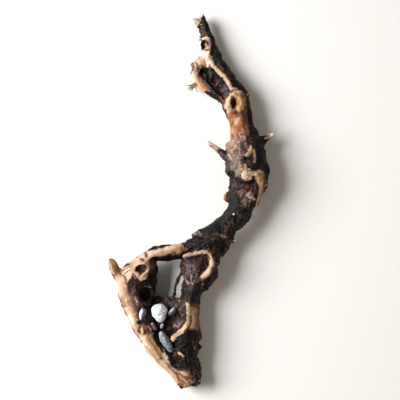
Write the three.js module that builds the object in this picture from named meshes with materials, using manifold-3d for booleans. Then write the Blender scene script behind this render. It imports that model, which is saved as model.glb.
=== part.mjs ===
// A dry, gnarled root about 450 mm long, lying on its back, with six stones that it grew round.
// Millimetres. X runs from the side spur at the left, Y from the foot to the tip, Z up from the surface.
import * as THREE from "three";
import { mergeVertices } from "three/addons/utils/BufferGeometryUtils.js";
import Module from "manifold-3d";

const wasm = await Module();
wasm.setup();

const STONE_GAP = 0.35; // clearance between a stone and the socket that the root grew round it
const LUMP = 0.05; // how far the girth of a thick limb swells and shrinks, as a share of its radius
const LUMP_PITCH = 38; // distance along a limb from one swelling to the next
const COUNTER_PITCH = 1.7; // how much faster the second wave of swellings runs back along the limb
const LIMB_SIDES = 14;
const TWIG_SIDES = 7;
const LIMB_STEP = 8; // distance between the rings of a thick limb
const TWIG_STEP = 6;
const KNOB_SIDES = 14; // facets round a rounded swelling or hollow
const KNOB_RINGS = 9;
const STONE_DETAIL = 2; // times that a stone's icosahedron is divided
const MERGE_DISTANCE = 1e-4; // corners nearer than this are one corner
const ROUGHNESS = { wood: 0.9, stone: 0.6 };
const GROUND = { size: [600, 800, 100], middle: [100, 220, -50] }; // everything below the surface
const UP = new THREE.Vector3(0, 0, 1);

// Each station of a limb is [x, y, z, half width, half depth]; the limb is a smooth curve through them.
const LIMBS = {
  // From the broken tip down the shaft, through the swelling, to the crotch above the loop.
  trunk: [
    [113.2, 447.2, 12, 3.6, 4.4],
    [114.8, 434, 12, 5.8, 6.4],
    [118.2, 424, 12, 7.2, 7.4],
    [120.3, 417, 12, 8.6, 8.4],
    [122.5, 406, 12, 10.3, 9.6],
    [127.5, 391, 11.5, 11.2, 11.6],
    [137, 377, 12, 11.2, 12.4],
    [147.5, 362, 14, 12.5, 12.6],
    [154, 348, 16.5, 15.2, 14],
    [156.5, 336, 18, 14.2, 14],
    [158.5, 321.5, 19, 12.8, 13],
    [161, 309.5, 20, 14.6, 14.5],
    [165.5, 297.5, 20.5, 20.5, 18],
    [164.5, 284, 21, 24.6, 21],
    [165.5, 271, 21, 25.3, 21.8],
    [168.5, 258, 21.5, 24.6, 21],
    [168, 247, 22, 22.6, 19],
    [164.5, 235, 23, 20.4, 17.5],
    [160.5, 222.5, 24, 17, 15.6],
    [156, 210, 25, 15, 14.8],
    [147, 198.5, 25, 14, 14.6],
    [135, 188.5, 25, 14.2, 14.6],
    [121, 180, 25, 15.2, 15],
    [108, 172, 25, 13.5, 15],
  ],
  // The peeled arm that leaves the knot, frames the upper hollow and rejoins the shaft.
  hollowArm: [
    [148, 343, 16, 7, 8],
    [134.5, 351, 13.5, 7, 8.5],
    [122.5, 359.5, 12, 7.2, 9],
    [113, 369, 11.5, 7.4, 9],
    [106.5, 379.5, 11, 6.6, 8.2],
    [107.5, 389, 11, 6, 7.5],
    [114.5, 396, 11.5, 6.4, 8],
    [123, 402, 12, 6.6, 8],
  ],
  // The bar above the loop.
  topBar: [
    [117.5, 178, 25, 13, 14],
    [104.5, 170.5, 25, 10, 12],
    [90, 165, 25, 8.8, 10],
    [75, 163, 25, 8.2, 9.5],
    [62.5, 161.5, 25, 8, 9],
    [51, 158, 24, 9, 10],
    [42, 150, 23, 10.4, 12],
    [36, 140, 21, 14, 16],
  ],
  // The wide left side of the loop, which narrows to the foot.
  leftSide: [
    [38.5, 147.5, 22, 12.6, 13],
    [35.5, 136, 20.5, 22.5, 17],
    [34.5, 124, 19, 23.5, 18.4],
    [34.5, 112, 18, 21.5, 18.6],
    [36, 100, 17.5, 20, 18],
    [39.5, 88, 17.5, 17, 17],
    [43.5, 76, 18, 15, 15.4],
    [49.5, 63.5, 18, 13.4, 14.4],
    [57.5, 50.5, 18, 13, 14],
    [67, 38.5, 17, 11.6, 13.5],
    [77.5, 26.5, 16, 10.6, 13],
    [87.5, 14.5, 15, 10, 12],
    [95, 3, 14, 9.4, 11],
  ],
  // The right side of the loop, down to the foot.
  rightSide: [
    [132, 189, 25, 7, 8],
    [127, 183.5, 25, 12, 12.5],
    [120.5, 170.5, 24.5, 18, 15],
    [112.5, 155, 23.5, 22, 16],
    [109.5, 143, 22.5, 23, 17],
    [107.5, 131, 21, 19.5, 17],
    [102.5, 119, 20, 12.5, 15],
    [98, 105, 19, 13, 15],
    [95, 90, 18, 14.6, 16],
    [95, 74, 17.5, 15.2, 17],
    [94, 58, 17.5, 17, 18],
    [92.5, 43, 17.2, 16, 17.6],
    [93.5, 30, 16.5, 15, 16],
    [98, 17, 15.5, 14.2, 14],
    [100, 2.5, 14, 12, 11.5],
  ],
  // The sunken floor that joins both sides below the loop and carries the stones.
  stoneBed: [
    [36, 94, 15, 15, 14],
    [52, 92, 14, 16.5, 13],
    [68, 90, 13.5, 18, 12.5],
    [86, 92, 15, 17, 14],
  ],
  lowerBed: [
    [52, 80, 14, 14, 13],
    [62, 66, 13, 15, 12],
    [72, 51, 13, 15.5, 12],
    [82, 36, 13, 14, 12],
    [92, 20, 13, 12, 12],
  ],
};

const TWIGS = {
  tipFlake: [
    [113, 436, 12, 4.4, 4.6],
    [107.5, 439.8, 13, 4.8, 4.4],
    [103.6, 442.4, 13.5, 3.4, 3.2],
  ],
  leftStub: [
    [143, 277.5, 23, 6.4, 6.4],
    [135, 284, 24.5, 4, 4],
    [128, 288.5, 26, 3, 3],
    [120.5, 293.5, 27, 2.7, 2.7],
  ],
  rightStub: [
    [180, 294, 21, 8, 7.5],
    [188.5, 299.5, 21.5, 5, 4.6],
    [194.5, 303, 22, 2.4, 2.4],
    [199.5, 305, 22.5, 1.4, 1.4],
  ],
  spur: [
    [22, 128, 20, 10, 9],
    [13, 135.5, 21.5, 8, 7],
    [9.4, 141.5, 23, 6.2, 5],
    [6.5, 147, 24.5, 5.4, 4.2],
    [4.9, 151.5, 25.5, 4.2, 3.2],
    [3.6, 154.6, 26.3, 2, 1.8],
  ],
  rootlet: [
    [87.5, 137, 24, 1.7, 1.7],
    [84, 129, 24, 1.2, 1.2],
    [80.5, 119, 22.5, 1.1, 1.1],
    [78.5, 110, 20, 1.2, 1.2],
    [77.5, 103, 17.5, 1.8, 1.8],
  ],
  // Thin peeled roots that grew fast to the bark.
  shaftStrand: [
    [120.5, 399, 19.5, 3.4, 3],
    [126, 390, 21.5, 3, 3],
    [132.5, 381, 22.5, 2.8, 3],
    [142, 371.5, 23.5, 2.8, 3],
    [151, 360, 25, 3.2, 3],
    [157.5, 351, 27, 4, 3.4],
  ],
  burl: [
    [162, 266, 40.5, 4.2, 3],
    [164, 257, 41, 5.6, 3.4],
    [171, 252, 40, 4.2, 3.2],
    [180, 253.5, 37.5, 4.6, 3.4],
    [185, 245, 33.5, 5, 3.6],
    [186.5, 235, 29, 3, 2.6],
  ],
  upperHook: [
    [91, 158.5, 37, 2.5, 3.5],
    [104, 161, 38, 2.8, 3.5],
    [116, 163.5, 37.5, 2.6, 3.5],
    [123.5, 160, 36.5, 2.4, 3.4],
    [125, 150, 36.5, 2.4, 3.4],
    [121.5, 141, 37, 3.6, 3.8],
    [113.5, 133, 35.5, 4.2, 4],
  ],
  lowerHook: [
    [96, 99, 32, 2.6, 3.4],
    [95.5, 88, 32.5, 3, 3.6],
    [94.5, 77, 33, 3, 3.6],
    [89.5, 67.5, 32.5, 3.2, 3.6],
    [81.5, 61.5, 31, 3.8, 4],
    [75.5, 58.5, 29.5, 3.8, 4],
  ],
};

// Rounded swellings and hollows: [x, y, z, half length in x, in y, in z, turn about Z in degrees].
const SWELLINGS = {
  hollowFloor: [126, 371, 9, 15, 21, 6.5, 38],
  leftKnob: [143.6, 229, 23, 4.8, 6, 5.4, 0],
  crotchSpike: [143, 177, 22, 10, 6.5, 7, 18],
  armShoulder: [113, 391, 12, 10, 7, 8.5, 25],
  bedRim: [36, 77, 26, 8, 9, 7, 0],
  bedCorner: [78, 71, 15, 10, 10, 10, 0],
};
const HOLLOWS = {
  knotHole: [151, 341, 33, 3.6, 7, 13, -12],
  ringHollow: [116, 414.5, 22.5, 4.4, 4.6, 6, 0],
  eyeHollow: [40, 144, 38.5, 6.4, 4.4, 7, 0],
  deepHollow: [47, 113, 39, 9.5, 8.5, 19, 0],
};

// Stones: half lengths [x, y, z] before they are turned, how much narrower the foot end is than the middle,
// place and turn, and the material's colour.
const STONES = {
  white_stone: { half: [9.3, 11.2, 8.5], taper: 0.24, at: [61.8, 90, 29], turn: [8, 6, 4], color: 0xe4e6e8 },
  vein_pebble: { half: [5.2, 8, 6.6], taper: 0, at: [41.4, 89.4, 30], turn: [0, 12, -14], color: 0x6f7376 },
  band_pebble: { half: [7.2, 3.7, 4.8], taper: 0, at: [77.6, 91.6, 28.5], turn: [0, 0, 46], color: 0x55585c },
  violet_pebble: { half: [6, 3.4, 4], taper: 0, at: [54.2, 74, 27.2], turn: [0, 0, -54], color: 0x8b8795 },
  pale_chip: { half: [2.4, 3.6, 2.6], taper: 0, at: [64.8, 74.6, 26.2], turn: [0, 0, -18], color: 0xb0b1ac },
  long_pebble: { half: [5.5, 14.6, 5.8], taper: 0, at: [70, 55.4, 29], turn: [4, 0, 29], color: 0x7d8080 },
};

const ROOT_COLOR = 0x3a2c26;

// A closed three.js geometry as a solid.
function solidOf(geometry) {
  const bare = geometry.clone();
  bare.deleteAttribute("normal");
  bare.deleteAttribute("uv");
  const merged = mergeVertices(bare, MERGE_DISTANCE);
  return new wasm.Manifold(
    new wasm.Mesh({
      numProp: 3,
      vertProperties: merged.attributes.position.array,
      triVerts: new Uint32Array(merged.index.array),
    }),
  );
}

function geometryOf(solid) {
  const mesh = solid.getMesh();
  const geometry = new THREE.BufferGeometry();
  geometry.setAttribute("position", new THREE.BufferAttribute(mesh.vertProperties, 3));
  geometry.setIndex(new THREE.BufferAttribute(mesh.triVerts, 1));
  geometry.computeVertexNormals();
  return geometry;
}

// Bends a unit cylinder along the stations: its height becomes the curve, and its radius the girth there.
function limb(stations, sides, step, lump) {
  const path = new THREE.CatmullRomCurve3(
    stations.map(([x, y, z]) => new THREE.Vector3(x, y, z)),
    false,
    "catmullrom",
  );
  const girth = new THREE.CatmullRomCurve3(
    stations.map(([, , , wide, deep]) => new THREE.Vector3(wide, deep, 0)),
    false,
    "catmullrom",
  );
  const length = path.getLength();
  const geometry = new THREE.CylinderGeometry(1, 1, 1, sides, Math.ceil(length / step));
  const position = geometry.attributes.position;
  const vertex = new THREE.Vector3();
  const side = new THREE.Vector3();
  const above = new THREE.Vector3();
  for (let i = 0; i < position.count; i++) {
    vertex.fromBufferAttribute(position, i);
    const share = THREE.MathUtils.clamp(vertex.y + 0.5, 0, 1);
    const tangent = path.getTangent(share);
    const { x: wide, y: deep } = girth.getPoint(share);
    const around = Math.atan2(vertex.z, vertex.x);
    const along = (share * length * 2 * Math.PI) / LUMP_PITCH;
    const swell = 1 + lump * (Math.sin(3 * around + along) + Math.sin(2 * around - COUNTER_PITCH * along));
    side.crossVectors(tangent, UP).normalize();
    above.crossVectors(side, tangent);
    const placed = path
      .getPoint(share)
      .addScaledVector(side, vertex.x * wide * swell)
      .addScaledVector(above, vertex.z * deep * swell);
    position.setXYZ(i, placed.x, placed.y, placed.z);
  }
  return solidOf(geometry);
}

function ellipsoid([x, y, z, halfX, halfY, halfZ, turn]) {
  const geometry = new THREE.SphereGeometry(1, KNOB_SIDES, KNOB_RINGS);
  geometry.scale(halfX, halfY, halfZ);
  geometry.rotateZ(THREE.MathUtils.degToRad(turn));
  geometry.translate(x, y, z);
  return solidOf(geometry);
}

// A water-worn stone: an icosphere, a little lopsided, and larger by the gap when it is used to cut a socket.
function stoneGeometry({ half: [halfX, halfY, halfZ], taper }, gap) {
  const geometry = new THREE.IcosahedronGeometry(1, STONE_DETAIL);
  const position = geometry.attributes.position;
  const vertex = new THREE.Vector3();
  for (let i = 0; i < position.count; i++) {
    vertex.fromBufferAttribute(position, i);
    const uneven = 1 + 0.04 * Math.sin(2.3 * vertex.x + 1) + 0.05 * Math.sin(2.9 * vertex.y - vertex.z);
    position.setXYZ(
      i,
      vertex.x * (halfX * (uneven + taper * vertex.y) + gap),
      vertex.y * (halfY * uneven + gap),
      vertex.z * (halfZ * uneven + gap),
    );
  }
  return geometry;
}

function matt(color, roughness) {
  return new THREE.MeshStandardMaterial({ color, roughness, metalness: 0 });
}

function stone(name, facts) {
  const mesh = new THREE.Mesh(stoneGeometry(facts, 0), matt(facts.color, ROUGHNESS.stone));
  mesh.name = name;
  mesh.position.set(...facts.at);
  mesh.rotation.set(...facts.turn.map(THREE.MathUtils.degToRad));
  mesh.updateMatrix();
  return mesh;
}

function socketFor(mesh) {
  return solidOf(stoneGeometry(STONES[mesh.name], STONE_GAP).applyMatrix4(mesh.matrix));
}

// The surface that the root lies on wears its lowest points flat.
function ground() {
  return solidOf(new THREE.BoxGeometry(...GROUND.size).translate(...GROUND.middle));
}

function rootSolid(stones) {
  let solid = limb(LIMBS.trunk, LIMB_SIDES, LIMB_STEP, LUMP);
  for (const [name, stations] of Object.entries(LIMBS))
    if (name !== "trunk") solid = solid.add(limb(stations, LIMB_SIDES, LIMB_STEP, LUMP));
  for (const stations of Object.values(TWIGS))
    solid = solid.add(limb(stations, TWIG_SIDES, TWIG_STEP, 0));
  for (const swelling of Object.values(SWELLINGS)) solid = solid.add(ellipsoid(swelling));
  for (const hollow of Object.values(HOLLOWS)) solid = solid.subtract(ellipsoid(hollow));
  for (const mesh of stones) solid = solid.subtract(socketFor(mesh));
  return solid.subtract(ground());
}

function root(stones) {
  const mesh = new THREE.Mesh(geometryOf(rootSolid(stones)), matt(ROOT_COLOR, ROUGHNESS.wood));
  mesh.name = "root";
  return mesh;
}

const stones = Object.entries(STONES).map(([name, facts]) => stone(name, facts));
const lying = new THREE.Group();
lying.add(root(stones), ...stones);

// The origin is below the middle of the whole object's box, on the surface.
const { min, max } = new THREE.Box3().setFromObject(lying, true);
lying.position.set(-(min.x + max.x) / 2, -(min.y + max.y) / 2, 0);

const dryRoot = new THREE.Group();
dryRoot.add(lying);

export default dryRoot;
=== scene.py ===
import math
import random

import bmesh
import bpy
import numpy as np
from mathutils import Matrix, Quaternion, Vector, noise


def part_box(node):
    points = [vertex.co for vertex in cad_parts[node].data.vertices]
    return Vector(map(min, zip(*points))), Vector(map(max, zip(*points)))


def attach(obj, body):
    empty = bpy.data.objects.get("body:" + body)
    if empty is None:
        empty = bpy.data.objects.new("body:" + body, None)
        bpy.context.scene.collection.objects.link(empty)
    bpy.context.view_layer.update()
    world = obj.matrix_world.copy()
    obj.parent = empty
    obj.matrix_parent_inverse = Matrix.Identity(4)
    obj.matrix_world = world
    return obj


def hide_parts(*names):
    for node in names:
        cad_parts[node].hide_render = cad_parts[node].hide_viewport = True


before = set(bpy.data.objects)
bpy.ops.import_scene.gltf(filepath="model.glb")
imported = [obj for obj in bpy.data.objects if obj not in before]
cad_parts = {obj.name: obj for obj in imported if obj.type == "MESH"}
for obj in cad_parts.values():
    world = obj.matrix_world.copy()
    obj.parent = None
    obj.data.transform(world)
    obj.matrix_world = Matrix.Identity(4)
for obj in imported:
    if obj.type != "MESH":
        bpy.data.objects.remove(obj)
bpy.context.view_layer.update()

# A gnarled dry root on a pale floor, seen from above. The places below are in the drawing's millimetres:
# x from the side spur, y from the foot to the tip, z up from the floor.
spurToZero = 1.05  # the spur's tip stands this far to the right of the drawing's zero
footToZero = -2.0  # and the foot's edge this far below it
mm = 0.001

rootLow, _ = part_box("root")
drawingZero = Vector((rootLow.x - spurToZero * mm, rootLow.y - footToZero * mm, 0))


def place(x, y, z=0.0):
    return drawingZero + Vector((x, y, z)) * mm


def linear(hexColour):
    channels = [int(hexColour[i : i + 2], 16) / 255 for i in (1, 3, 5)]
    return [c / 12.92 if c <= 0.04045 else ((c + 0.055) / 1.055) ** 2.4 for c in channels]


def addNode(material, kind, settings=None, links=None):
    tree = material.node_tree
    node = tree.nodes.new(kind)
    for name, value in (settings or {}).items():
        if name in node.inputs:
            node.inputs[name].default_value = value
        else:
            setattr(node, name, value)
    for name, socket in (links or {}).items():
        tree.links.new(socket, node.inputs[name])
    return node


def newMaterial(name):
    material = bpy.data.materials.new(name)
    material.use_nodes = True
    material.node_tree.nodes.clear()
    return material


def surfaced(material, settings, links=None):
    shader = addNode(material, "ShaderNodeBsdfPrincipled", settings, links)
    addNode(material, "ShaderNodeOutputMaterial", {}, {"Surface": shader.outputs["BSDF"]})
    return material


def colourRamp(material, factor, stops):
    ramp = addNode(material, "ShaderNodeValToRGB", {}, {"Fac": factor})
    elements = ramp.color_ramp.elements
    while len(elements) < len(stops):
        elements.new(0.5)
    for element, (position, hexColour) in zip(elements, stops):
        element.position = position
        element.color = (*linear(hexColour), 1)
    return ramp.outputs["Color"]


def noiseShade(material, perMetre, **settings):
    # soft lumps, so many to the metre of the object
    where = addNode(material, "ShaderNodeTexCoord").outputs["Object"]
    lumps = addNode(material, "ShaderNodeTexNoise", {"Scale": perMetre, **settings}, {"Vector": where})
    return lumps.outputs["Fac"]


def ownValue(material, name):
    return addNode(material, "ShaderNodeAttribute", {"attribute_name": name}).outputs["Fac"]


mixSockets = {"factor": 0, "first": 6, "second": 7, "result": 2}  # of a Mix node that mixes colours


def mixColours(material, factor, first, second, blend="MIX"):
    # each of the three may be a socket or a fixed value
    mix = addNode(material, "ShaderNodeMix", {"data_type": "RGBA", "blend_type": blend})
    for name, source in (("factor", factor), ("first", first), ("second", second)):
        socket = mix.inputs[mixSockets[name]]
        if isinstance(source, bpy.types.NodeSocket):
            material.node_tree.links.new(source, socket)
        else:
            socket.default_value = source
    return mix.outputs[mixSockets["result"]]


def objectFrom(mesh, name):
    piece = bpy.data.objects.new(name, mesh)
    bpy.context.scene.collection.objects.link(piece)
    return piece


def evaluatedMesh(piece):
    graph = bpy.context.evaluated_depsgraph_get()
    return bpy.data.meshes.new_from_object(piece.evaluated_get(graph))


def meshFrom(bm, name):
    mesh = bpy.data.meshes.new(name)
    bm.to_mesh(mesh)
    bm.free()
    return mesh


def nodeCopy(name):
    bm = bmesh.new()
    bm.from_mesh(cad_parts[name].data)
    bmesh.ops.remove_doubles(bm, verts=bm.verts, dist=1e-6)
    return meshFrom(bm, name + "_copy")


def strandMesh(paths, closed=False, sides=3, steps=6):
    # paths: lists of (x, y, z, radius) in drawing millimetres
    curve = bpy.data.curves.new("strand", "CURVE")
    curve.dimensions = "3D"
    curve.bevel_depth = mm
    curve.bevel_resolution = sides
    curve.resolution_u = steps
    curve.use_fill_caps = not closed
    for path in paths:
        spline = curve.splines.new("BEZIER")
        spline.bezier_points.add(len(path) - 1)
        spline.use_cyclic_u = closed
        for point, (x, y, z, radius) in zip(spline.bezier_points, path):
            point.co = place(x, y, z)
            point.radius = radius
            point.handle_left_type = "AUTO"
            point.handle_right_type = "AUTO"
    holder = objectFrom(curve, "strand")
    mesh = evaluatedMesh(holder)
    bpy.data.objects.remove(holder)
    bpy.data.curves.remove(curve)
    return mesh


def ringPath(x, y, z, halfX, halfY, tube, turn=0, tilt=0, count=10):
    # a lip round a knot; tilt lifts its right-hand side by that many millimetres
    path = []
    for i in range(count):
        angle = 2 * math.pi * i / count
        across = halfX * math.cos(angle)
        along = halfY * math.sin(angle)
        c, s = math.cos(math.radians(turn)), math.sin(math.radians(turn))
        path.append((x + across * c - along * s, y + across * s + along * c,
                     z + tilt * math.cos(angle), tube * (1 + 0.18 * math.sin(3 * angle + x))))
    return path


def joinMeshes(meshes):
    bm = bmesh.new()
    for mesh in meshes:
        bm.from_mesh(mesh)
    return meshFrom(bm, "joined")


def coordinates(mesh):
    flat = np.empty(len(mesh.vertices) * 3)
    mesh.vertices.foreach_get("co", flat)
    return flat.reshape(-1, 3)


def vertexNormals(mesh):
    flat = np.empty(len(mesh.vertices) * 3, np.float32)
    mesh.vertex_normals.foreach_get("vector", flat)
    return flat.reshape(-1, 3).astype(float)


def shadeSmooth(mesh):
    for polygon in mesh.polygons:
        polygon.use_smooth = True


def setCoordinates(mesh, points):
    mesh.vertices.foreach_set("co", points.ravel())
    mesh.update()


def storeValue(mesh, name, values):
    mesh.attributes.new(name, "FLOAT", "POINT").data.foreach_set("value", values.astype(np.float32))


def smoothstep(low, high, value):
    share = np.clip((value - low) / (high - low), 0, 1)
    return share * share * (3 - 2 * share)


octaveWeight = 0.55  # each finer octave is this much weaker
octaveSize = 0.48  # and this much smaller


def noiseField(points, size, seed, octaves=1):
    # points in millimetres; size is the distance from one lump to the next
    total = np.zeros(len(points))
    weight, reach = 1.0, size
    for octave in range(octaves):
        shift = Vector((seed * 7.3 + octave * 3.1, seed * 1.7, seed * 4.9))
        scaled = points / reach
        total += weight * np.array([noise.noise(Vector(p) + shift) for p in scaled])
        weight *= octaveWeight
        reach *= octaveSize
    return total


streakSamples = 7


def fibreField(points, direction, size, reach, seed):
    # noise smeared along the grain, so that it makes long streaks
    steps = np.linspace(-reach, reach, streakSamples)
    total = sum(noiseField(points + step * direction, size, seed) for step in steps) / len(steps)
    return total / (np.std(total) + 1e-9)


# The middle line of each limb, for the run of the grain: (x, y, z).
grainLines = {
    "shaft": [(110, 446, 12), (122, 406, 12), (137, 377, 12), (153, 348, 16), (158, 322, 19), (165, 290, 21),
              (167, 258, 21), (160, 223, 24), (146, 198, 25), (121, 180, 25), (104, 170, 25)],
    "arm": [(148, 343, 16), (122, 360, 12), (107, 379, 11), (107, 389, 11), (123, 402, 12)],
    "bar": [(118, 178, 25), (90, 165, 25), (62, 162, 25), (42, 150, 23)],
    "leftSide": [(38, 148, 22), (34, 118, 19), (38, 90, 17), (50, 63, 18), (67, 38, 17), (95, 3, 14)],
    "rightSide": [(127, 184, 25), (110, 145, 23), (103, 119, 20), (95, 85, 18), (93, 43, 17), (98, 2, 14)],
    "leftStub": [(143, 278, 23), (120, 294, 27)],
    "rightStub": [(180, 294, 21), (199, 305, 22)],
    "spur": [(20, 128, 20), (3, 154, 26)],
}


grainBlend = 2  # mm; nearer limbs than this share the say in the grain
grainFalloff = 4


def grainDirection(points):
    total = np.zeros_like(points)
    for line in grainLines.values():
        stations = np.array(line, float)
        for start, end in zip(stations[:-1], stations[1:]):
            run = end - start
            share = np.clip(((points - start) @ run) / (run @ run), 0, 1)
            gap = np.linalg.norm(points - (start + share[:, None] * run), axis=1)
            toFoot = np.sign(-run[1] - 1e-6)  # turns every limb's grain the same way
            pull = toFoot / (gap + grainBlend) ** grainFalloff
            total += (run / np.linalg.norm(run)) * pull[:, None]
    return total / (np.linalg.norm(total, axis=1)[:, None] + 1e-12)


# The skin, and the bark strands and lips that stand out of the limbs: (x, y, z, radius).
rootShape = {
    "voxel": 1.06,  # mm between the points of the skin
    "smoothing": 4,
    "strands": {
        "tipFlake": [(110, 438, 14, 3.4), (105.5, 441.5, 15, 3.4), (101.8, 443.5, 15.5, 2)],
        "tipSpike": [(114, 438, 14, 3.4), (114.6, 449, 15, 1.4)],
        "tipShard": [(108, 440, 14, 2), (109.6, 447, 15, 1.2)],
        "spurBlade": [(9, 137, 24, 4.6), (5, 145, 26, 4.4), (2.6, 151.6, 27, 3), (1.6, 155, 27, 1.4)],
        "spurBack": [(11, 137, 23, 4), (9.2, 144, 24.4, 4.6), (7.6, 149, 25.6, 3.6), (5, 153, 26.6, 2)],
        "leftBark": [(135.5, 350, 16, 3.2), (139.5, 340, 17, 3), (142.6, 331, 18, 2.7), (146.5, 322, 18, 2)],
        "crotchFill": [(150, 190, 24, 5), (144, 176, 23, 5), (135, 160, 22, 4.4)],
        "barkStrand": [(116, 440, 15, 3), (122, 420, 16, 4), (127.5, 403, 17, 4.6), (134.5, 388, 18, 5),
                       (145, 375, 19, 5), (156, 360, 21, 5), (163.5, 348, 22, 4.6), (167, 335, 23, 4.6),
                       (168.5, 320, 24, 4.2), (171, 307, 25, 4.4), (177, 295, 26, 5)],
        "barRidge": [(49, 166.4, 29, 1.3), (57, 169.2, 30, 2), (66, 171, 31, 1.7), (76, 172.4, 31, 1)],
        "barStrand": [(46, 157, 32, 2.5), (54, 161, 32, 3.6), (66, 165, 32.5, 3.8), (78, 167, 33, 4.6),
                      (88, 167, 33, 4.4)],
        "leftCollar": [(142, 279, 24, 5.6), (137.5, 282, 25, 4), (134, 284.6, 25.5, 3)],
        "swellingLump": [(188, 269, 23, 4.6), (190, 262, 23, 4.8), (189.6, 255, 22, 4.4)],
        "leftStubWood": [(131, 286, 26, 3.2), (126, 290, 27, 3.1), (120.4, 293.8, 27.6, 3),
                         (118.4, 295.2, 27.8, 2.2)],
        "rightStubWood": [(188, 299.6, 23, 3.4), (194, 302.6, 23.4, 2.8), (200, 305, 23.6, 1.8)],
        "loopLip": [(46, 150, 21, 5), (52.4, 147, 21, 6.4), (53.4, 138, 20, 6), (50, 130, 19, 5)],
        "barUnder": [(54, 156, 22, 4), (66, 155.4, 22, 3.8), (76, 156.6, 22, 3.6), (88, 158, 22, 3.6)],
        "rootletBark": [(88, 138, 24, 2.2), (83.6, 128.6, 24, 1.9), (80.6, 119, 22.5, 1.7),
                        (78.8, 110, 20, 1.9), (78, 104, 17.5, 2.2)],
        "paleNub": [(88.5, 41.5, 34, 2.2), (90.5, 43, 35, 2)],
        "blueRidge": [(114, 381, 14.5, 1.2), (117.5, 374, 16, 1.3), (117, 367, 16, 1.3), (122, 361, 16, 1.4),
                      (127, 353, 17, 1)],
        "brownRidge": [(121, 384, 16, 1.2), (124.5, 377, 17, 1.5), (123, 371, 17, 1.3), (127, 366, 17, 1.3)],
        "middleRidge": [(129, 373, 16, 1.3), (131.5, 367, 17, 1.5), (129, 361, 17, 1.4),
                        (133.5, 356, 17, 1.2)],
        "bandKnob": [(40, 71, 31, 4), (45, 69, 31.5, 4.6)],
        "bandRidge": [(27, 96, 31, 3), (31, 84, 31, 3.4), (36, 74, 31, 3.4), (44, 64, 31, 3.6),
                      (52, 51, 30, 3.6), (62, 37, 29, 3.2)],
        "spotRidge": [(170.5, 292, 36.5, 1.2), (169, 286, 38.5, 2.2), (166.5, 280.5, 40, 2.6)],
        "sideRidge": [(172, 288, 36, 1.2), (176, 282, 37, 2), (176.5, 275, 38, 2), (174, 269, 40, 1.4)],
        "edgeStrand": [(182, 240, 24, 2), (181, 229, 27, 2.4), (178, 219, 28, 2)],
        "greyStreak": [(99, 146, 37.5, 1.2), (99.5, 137, 38, 1.6), (100, 128, 36, 1.4)],
    },
    "rings": {
        "tipKnot": ringPath(116.6, 413, 20, 5, 5.6, 1.5, tilt=1),
        "shaftKnot": ringPath(152, 341, 29.5, 7.4, 9.8, 2.7, turn=-12),
        "eyeRim": ringPath(41, 143.5, 34.5, 7.2, 5.4, 1.7, tilt=1.5),
    },
}


def rootSkin(shape):
    parts = [nodeCopy("root")]
    parts.append(strandMesh(shape["strands"].values()))
    parts.append(strandMesh(shape["rings"].values(), closed=True))
    rough = objectFrom(joinMeshes(parts), "rough root")
    remesh = rough.modifiers.new("even skin", "REMESH")
    remesh.mode = "VOXEL"
    remesh.voxel_size = shape["voxel"] * mm
    soften = rough.modifiers.new("soften facets", "SMOOTH")
    soften.factor = 0.5
    soften.iterations = shape["smoothing"]
    mesh = evaluatedMesh(rough)
    bpy.data.objects.remove(rough)
    return mesh


# tone: (colour, how mottled it is, how rough its relief is)
woodTones = {
    "bark": ("#281c17", 0.3, 1),
    "blackBark": ("#110b08", 0.12, 0.75),
    "brownBark": ("#4f3a31", 0.9, 1),
    # greyBarkAndSheen: grey bark, also laid on as a painted sheen, a grey streak along the smooth black bend
    "greyBarkAndSheen": ("#4a4546", 0.2, 0.4),
    "violetBark": ("#523f46", 0.9, 1),
    "blueBark": ("#17171a", 0.1, 0.2),
    "redBark": ("#5c352a", 0.7, 0.8),
    "dust": ("#9c7f70", 0.8, 0.9),
    "speckled": ("#2e231d", 1.8, 1),
    "ash": ("#bfb2a7", 0.35, 0.4),
    "slate": ("#5f6070", 0.2, 0.4),
    # hole: near-black painted shade, laid in hollows and under the bar
    "recessShade": ("#100a08", 0, 0.5),
    "cream": ("#cfb498", 0.05, 0),
    "bleached": ("#e8d6c4", 0, 0),
    "tan": ("#caa98b", 0.1, 0),
    "gold": ("#ae8253", 0.2, 0),
    "orange": ("#ac6e44", 0.2, 0),
    "rust": ("#8c5638", 0.3, 0.2),
    "leather": ("#a07c5e", 0.1, 0),
    "umber": ("#644437", 0.3, 0.3),
    "rose": ("#ab8a80", 0.4, 0.3),
}
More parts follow.
